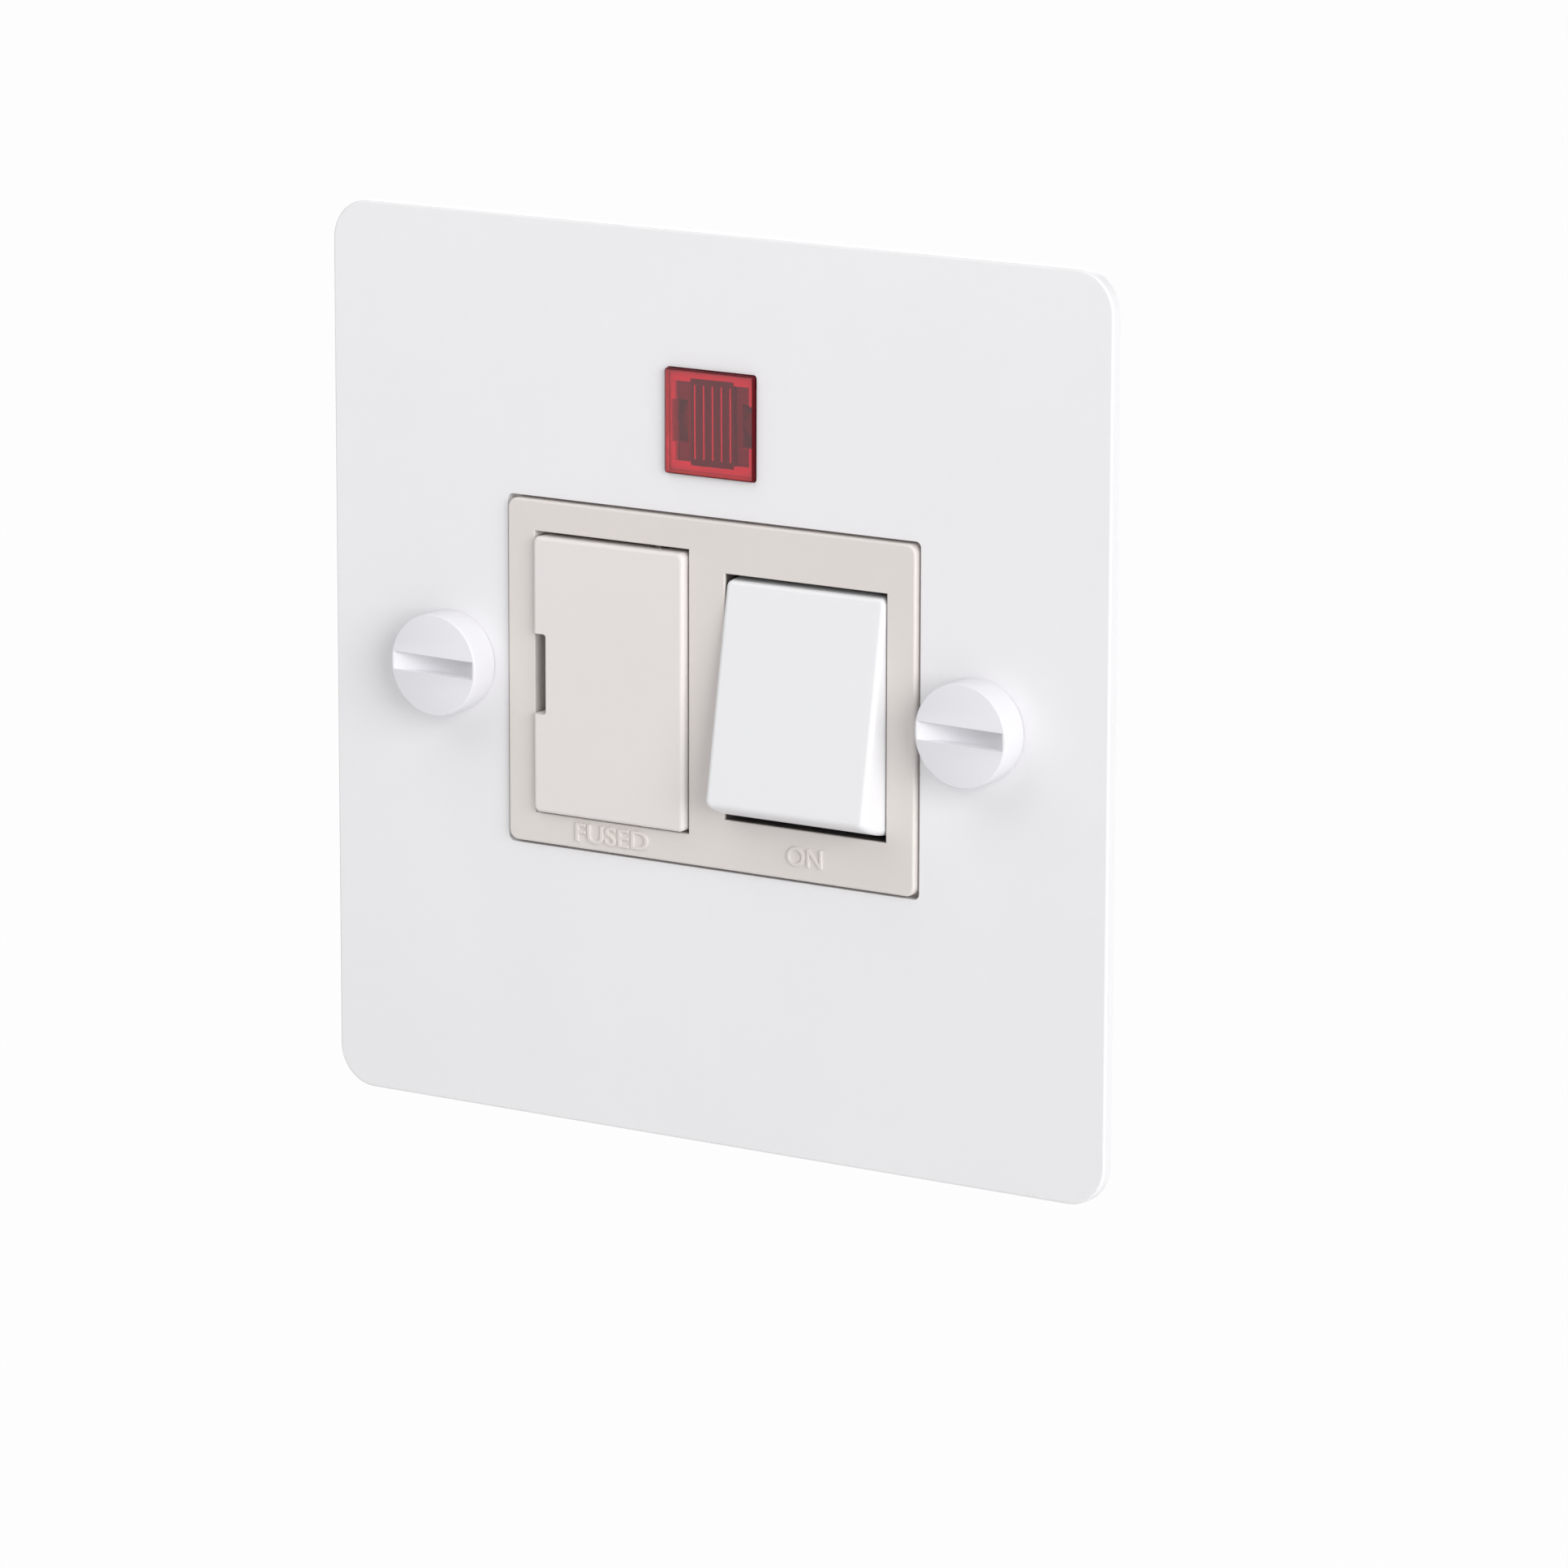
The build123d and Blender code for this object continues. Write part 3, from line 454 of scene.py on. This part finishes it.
def sawSlot(head, look):
    # the floor of the slot is the arc of the saw
    depth = look["slotDepth"]
    radius = (look["slotLength"] ** 2 / 4 + depth ** 2) / (2 * depth)
    bpy.ops.mesh.primitive_cylinder_add(
        vertices=screwMake["sawVertices"], radius=radius, depth=look["slotWidth"],
        location=(0, depth - look["headHeight"] - radius, 0),
    )
    cutWith(head, bpy.context.object)


def millSlot(head, look):
    # the cutter runs out past both sides of the head
    bpy.ops.mesh.primitive_cube_add(size=1, location=(0, -look["headHeight"], 0))
    cutter = bpy.context.object
    cutter.scale = (3 * look["headRadius"], 2 * look["slotDepth"], look["slotWidth"])
    cutWith(head, cutter)


def threadedRod(look):
    # a core with a ridge wound round it, from look["start"] to look["end"] along Y
    startFresh()
    start, end, pitch = look["start"], look["end"], look["pitch"]
    crest = screwMake["crestShare"] * pitch
    root = look["radius"] - crest
    bpy.ops.mesh.primitive_cylinder_add(
        vertices=screwMake["coreVertices"], radius=root + screwMake["overlapShare"] * crest,
        depth=end - start, location=(0, (start + end) / 2, 0), rotation=alongY,
    )
    core = bpy.context.object
    settle()
    bevelEdges(core, lambda one, other: min(one.y, other.y) > end - near,
               look["tip"], screwMake["tipSegments"])
    startFresh()
    ridgeStart = max(start, 0) + pitch
    turns = int((end - look["tip"] - ridgeStart) / pitch)
    bpy.ops.mesh.primitive_circle_add(vertices=4, radius=crest, location=(root, ridgeStart, 0))
    ridge = bpy.context.object
    ridge.scale.y = screwMake["flankShare"] * pitch / crest
    settle()
    steps = screwMake["ridgeSteps"]
    applyModifier(ridge, "SCREW", {"axis": "Y", "screw_offset": pitch, "iterations": turns,
                                   "steps": steps, "render_steps": steps})
    bpy.ops.object.mode_set(mode="EDIT")
    bpy.ops.mesh.select_all(action="SELECT")
    bpy.ops.mesh.fill_holes(sides=0)
    bpy.ops.mesh.select_all(action="SELECT")
    bpy.ops.mesh.normals_make_consistent(inside=False)
    startFresh()
    return joinPieces([core, ridge], "threadedRod")


fixingScrew = {
    "headRadius": 5.0 * mm, "headHeight": 3.5 * mm, "headEdge": 0.16 * mm, "underEdge": 0.3 * mm,
    "slotWidth": 1.75 * mm, "slotLength": 9.4 * mm, "slotDepth": 1.6 * mm, "slotEdge": 0.07 * mm,
    "radius": 1.75 * mm, "pitch": 0.6 * mm, "start": -0.2 * mm, "end": 20.0 * mm, "tip": 0.6 * mm,
    "underHead": -1.2 * mm, "halfCentres": 30.15 * mm,
}


def makeFixingScrews(look):
    head = screwHead(look)
    sawSlot(head, look)
    softenEdges(head, look["slotEdge"])
    screw = joinPieces([head, threadedRod(look)], "fixingScrew")
    places = [(side * look["halfCentres"], look["underHead"], 0) for side in (-1, 1)]
    dress(spreadCopies(screw, places, "fixingScrews"), "screw_white", "unit", "fixing_screws")


terminalScrew = {
    "headRadius": 2.4 * mm, "headHeight": 1.5 * mm, "headEdge": 0.3 * mm, "underEdge": 0.1 * mm,
    "slotWidth": 1.2 * mm, "slotDepth": 0.6 * mm, "slotEdge": 0.05 * mm,
    "radius": 1.6 * mm, "pitch": 0.5 * mm, "start": -0.1 * mm, "end": 2.05 * mm, "tip": 0.2 * mm,
    "outerX": 18.9 * mm, "innerX": 8.3 * mm, "z": 22.45 * mm,
}


def makeTerminalScrews(look):
    head = screwHead(look)
    millSlot(head, look)
    softenEdges(head, look["slotEdge"])
    screw = joinPieces([head, threadedRod(look)], "terminalScrew")
    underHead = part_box("terminal_screws")[1][1] - look["headHeight"]
    spots = [(side * look["outerX"], end) for end in (1, -1) for side in (-1, 1)]
    spots += [(side * look["innerX"], -1) for side in (-1, 1)]
    places = [(x, underHead, end * look["z"]) for x, end in spots]
    screws = spreadCopies(screw, places, "terminalScrews", math.pi)
    dress(screws, "steel", "unit", "terminal_screws")


studBolt = {
    "radius": 1.25 * mm, "pitch": 0.45 * mm, "start": 0.0, "end": 5.0 * mm, "tip": 0.25 * mm,
    "z": 15.0 * mm,
}


def makeStuds(look):
    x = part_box("plate_studs")[1][0] - look["radius"]
    places = [(side * x, 0, end * look["z"]) for side in (-1, 1) for end in (-1, 1)]
    studs = spreadCopies(threadedRod(look), places, "plateStuds")
    dress(studs, "steel", "unit", "plate_studs")


# Pale tray round the lamp clip, which shows red through the lens and in the clip's slits
lampTray = {
    "outer": 9.4 * mm, "thickness": 0.55 * mm, "front": -0.74 * mm, "trayEdge": 0.04 * mm,
    "clipWidth": 8.3 * mm, "clipHeight": 7.6 * mm, "grilleWidth": 4.9 * mm, "grilleHeight": 8.3 * mm,
    "sideWidth": 9.1 * mm, "sideHeight": 4.0 * mm, "middle": 26.05 * mm,
    "bars": 5, "pitch": 1.0 * mm, "barWidth": 0.17 * mm, "barHeight": 7.1 * mm,
    "barFront": -0.64 * mm, "barBack": -0.21 * mm, "barEdge": 0.03 * mm,
}


def makeLampTray(look):
    middle, front, thickness = look["middle"], look["front"], look["thickness"]
    back = front + thickness
    tray = addBlock(look["outer"], look["outer"], front, back, 0, middle)
    for part in ("clip", "grille", "side"):
        width, height = look[part + "Width"], look[part + "Height"]
        cutWith(tray, addBlock(width, height, front - thickness, back + thickness, 0, middle))
    softenEdges(tray, look["trayEdge"])
    pieces = [tray]
    for number in range(look["bars"]):
        x = (number - (look["bars"] - 1) / 2) * look["pitch"]
        bar = addBlock(look["barWidth"], look["barHeight"], look["barFront"], look["barBack"], x, middle)
        softenEdges(bar, look["barEdge"])
        pieces.append(bar)
    dress(joinPieces(pieces, "lampTray"), "plunger_nylon", "unit", finishName="tray_pale")


# Lens: the clear front, and behind it the skirt with the flange that holds it in the plate
neonLens = {
    "size": 10.1 * mm, "front": -1.7 * mm, "back": -0.8 * mm, "middle": 26.05 * mm,
    "cornerRadius": 0.25 * mm, "edgeRadius": 0.15 * mm, "segments": 3,
    "skirtFront": -0.79 * mm, "hollow": 9.5 * mm,
    "flangeSize": 11.7 * mm, "flangeFront": 0.0, "flangeBack": 0.9 * mm,
}


def makeNeonLens(look):
    size, front, middle = look["size"], look["front"], look["middle"]
    flangeSize, flangeBack = look["flangeSize"], look["flangeBack"]
    lens = addBlock(size, size, front, look["back"], 0, middle)
    lens.name = "neonLens"
    bevelEdges(lens, lambda one, other: abs(one.y - other.y) > near,
               look["cornerRadius"], look["segments"])
    bevelEdges(lens, lambda one, other: max(one.y, other.y) < front + near,
               look["edgeRadius"], look["segments"])
    startFresh()
    dress(lens, "lens_red", "unit", "neon_lens")
    skirt = addBlock(size, size, look["skirtFront"], flangeBack / 2, 0, middle)
    skirt.name = "lensSkirt"
    flange = addBlock(flangeSize, flangeSize, look["flangeFront"], flangeBack, 0, middle)
    combine(skirt, flange, "UNION")
    cutWith(skirt, addBlock(look["hollow"], look["hollow"], front, 2 * flangeBack, 0, middle))
    dress(skirt, "lens_red", "unit", finishName="lens_skirt")


makeFixingScrews(fixingScrew)
makeTerminalScrews(terminalScrew)
makeStuds(studBolt)
makeLampTray(lampTray)
makeNeonLens(neonLens)
print("stage: screws, studs, lamp tray and lens")


# Raised words of the moulding, in a plain face
bezelFace = -1.7 * mm
bezelWords = [
    {"name": "fuseWord", "text": "FUSED", "x": -11.13 * mm, "z": -15.2 * mm,
     "width": 8.5 * mm, "height": 1.85 * mm},
    {"name": "switchWord", "text": "ON", "x": 11.07 * mm, "z": -14.5 * mm,
     "width": 4.0 * mm, "height": 1.85 * mm},
]
wordRelief = {
    "rise": 0.18 * mm, "bed": 0.04 * mm, "soft": 0.04 * mm,
    "capShare": 0.7, "mergeGap": 0.0001,  # in the font's own unit
}


def raiseWord(look, relief, face, slotName, rear=False):
    startFresh()
    bpy.ops.object.text_add()
    word = bpy.context.object
    word.data.body = look["text"]
    unit = look["height"] / relief["capShare"]
    thick = relief["rise"] + relief["bed"]
    word.data.extrude = (thick / 2 - relief["soft"]) / unit
    word.data.bevel_depth = relief["soft"] / unit
    word.data.bevel_resolution = 0
    bpy.ops.object.convert(target="MESH")
    word = bpy.context.object
    word.name = look["name"]
    bpy.ops.object.mode_set(mode="EDIT")
    bpy.ops.mesh.select_all(action="SELECT")
    bpy.ops.mesh.remove_doubles(threshold=relief["mergeGap"])
    bpy.ops.mesh.normals_make_consistent(inside=False)
    startFresh()
    word.select_set(True)
    bpy.ops.object.origin_set(type="ORIGIN_GEOMETRY", center="BOUNDS")
    size = word.dimensions
    word.scale = (look["width"] / size.x, look["height"] / size.y, thick / size.z)
    lift = (relief["rise"] - relief["bed"]) / 2
    word.location = (look["x"], face + lift if rear else face - lift, look["z"])
    word.rotation_euler = (math.pi / 2, 0, math.pi if rear else 0)
    settle()
    dress(word, slotName, "unit")


for look in bezelWords:
    raiseWord(look, wordRelief, bezelFace, "bezel_grey")

# Terminal letters on the floor of the housing, beside their rows: letter, x, end and width
terminalMarks = {
    "height": 2.0 * mm, "z": 15.1 * mm, "face": 15.673 * mm,
    "marks": [
        ("L", -18.9, 1, 1.2), ("N", 18.9, 1, 1.5), ("L", -18.9, -1, 1.2), ("N", 18.9, -1, 1.5),
        ("E", -8.3, -1, 1.3), ("E", 8.3, -1, 1.3),
    ],
}
for number, (letter, x, end, width) in enumerate(terminalMarks["marks"]):
    look = {
        "name": "terminalMark%d" % number, "text": letter, "x": x * mm, "z": end * terminalMarks["z"],
        "width": width * mm, "height": terminalMarks["height"],
    }
    raiseWord(look, wordRelief, terminalMarks["face"], "housing_grey", rear=True)
print("stage: raised words")


# Camera at the photo's angle
photoView = {
    "azimuth": 33.339, "elevation": 12.1, "roll": 0.142, "distance": 0.7747,
    "slideRight": 6.29 * mm, "slideUp": -8.77 * mm,
    "focalPixels": 10003.7, "imagePixels": 1932.0, "sensor": 36.0, "clipStart": 0.01, "clipEnd": 50,
}


def photoCamera(look):
    azimuth, elevation, roll = (math.radians(look[k]) for k in ("azimuth", "elevation", "roll"))
    level = math.cos(elevation)
    back = Vector((math.sin(azimuth) * level, -math.cos(azimuth) * level, math.sin(elevation)))
    right = Vector((math.cos(azimuth), math.sin(azimuth), 0))
    up = back.cross(right)
    turnedRight = right * math.cos(roll) + up * math.sin(roll)
    turnedUp = up * math.cos(roll) - right * math.sin(roll)
    eye = back * look["distance"] + turnedRight * look["slideRight"] + turnedUp * look["slideUp"]
    turned = Matrix((turnedRight, turnedUp, back)).transposed()
    bpy.ops.object.camera_add()
    camera = bpy.context.object
    camera.matrix_world = Matrix.Translation(eye) @ turned.to_4x4()
    camera.data.sensor_width = look["sensor"]
    camera.data.lens = look["focalPixels"] * look["sensor"] / look["imagePixels"]
    camera.data.clip_start = look["clipStart"]
    camera.data.clip_end = look["clipEnd"]
    bpy.context.scene.camera = camera


# Soft lamps, pale surroundings and floor
studio = {
    "worldLight": 0.35,
    "lamps": [
        {"name": "keyLamp", "place": (1.7, -0.93, 0.54), "size": 1.2, "power": 30.5},
        {"name": "topLamp", "place": (-0.15, -0.22, 0.36), "size": 0.4, "power": 0.72},
        {"name": "rearLamp", "place": (-0.35, 0.5, 0.25), "size": 0.5, "power": 2.0},
    ],
    "floorDrop": 0.35, "floorSize": 40.0, "floorGlow": 0.97, "floorRoughness": 0.9,
    "floorLow": (0.93, 0.93, 0.93), "floorHigh": (0.95, 0.95, 0.95), "floorScale": 3.0,
}
pureWhite = (1, 1, 1, 1)


def addLamp(look):
    bpy.ops.object.light_add(type="AREA", location=look["place"])
    lamp = bpy.context.object
    lamp.name = look["name"]
    lamp.data.size = look["size"]
    lamp.data.energy = look["power"]
    lamp.rotation_euler = (-Vector(look["place"])).to_track_quat("-Z", "Y").to_euler()


def seenRays(tree):
    # 1 for what the camera, a reflection or clear plastic shows
    camera = Shade(tree).node("ShaderNodeLightPath", {}, {}, "Is Camera Ray")
    outputs = camera.socket.node.outputs
    glossy = Shade(tree, outputs["Is Glossy Ray"])
    through = Shade(tree, outputs["Is Transmission Ray"])
    return camera.larger(glossy).larger(through)


def studioLight(look):
    world = bpy.data.worlds.new("studioWorld")
    bpy.context.scene.world = world
    world.use_nodes = True
    tree = world.node_tree
    sky = tree.nodes["Background"]
    strength = seenRays(tree) * (1 - look["worldLight"]) + look["worldLight"]
    tree.links.new(strength.socket, sky.inputs["Strength"])
    sky.inputs["Color"].default_value = pureWhite
    for lamp in look["lamps"]:
        addLamp(lamp)


def paleFloor(look):
    startFresh()
    bpy.ops.mesh.primitive_plane_add(size=look["floorSize"], location=(0, 0, -look["floorDrop"]))
    floor = bpy.context.object
    floor.name = "floor"
    finish, surface, place = startFinish("floorPaper", {"Roughness": look["floorRoughness"]})
    cloud = place.noise(look["floorScale"])
    feed(surface, Base_Color=cloud.between(look["floorLow"], look["floorHigh"]))
    glow = place.node("ShaderNodeEmission", {}, {"Color": pureWhite, "Strength": 1.0})
    mixOver(surface, seenRays(place.tree) * look["floorGlow"], glow)
    floor.data.materials.append(finish)


photoCamera(photoView)
studioLight(studio)
paleFloor(studio)
bpy.context.scene.view_settings.view_transform = "Standard"
print("stage: camera, light and floor")
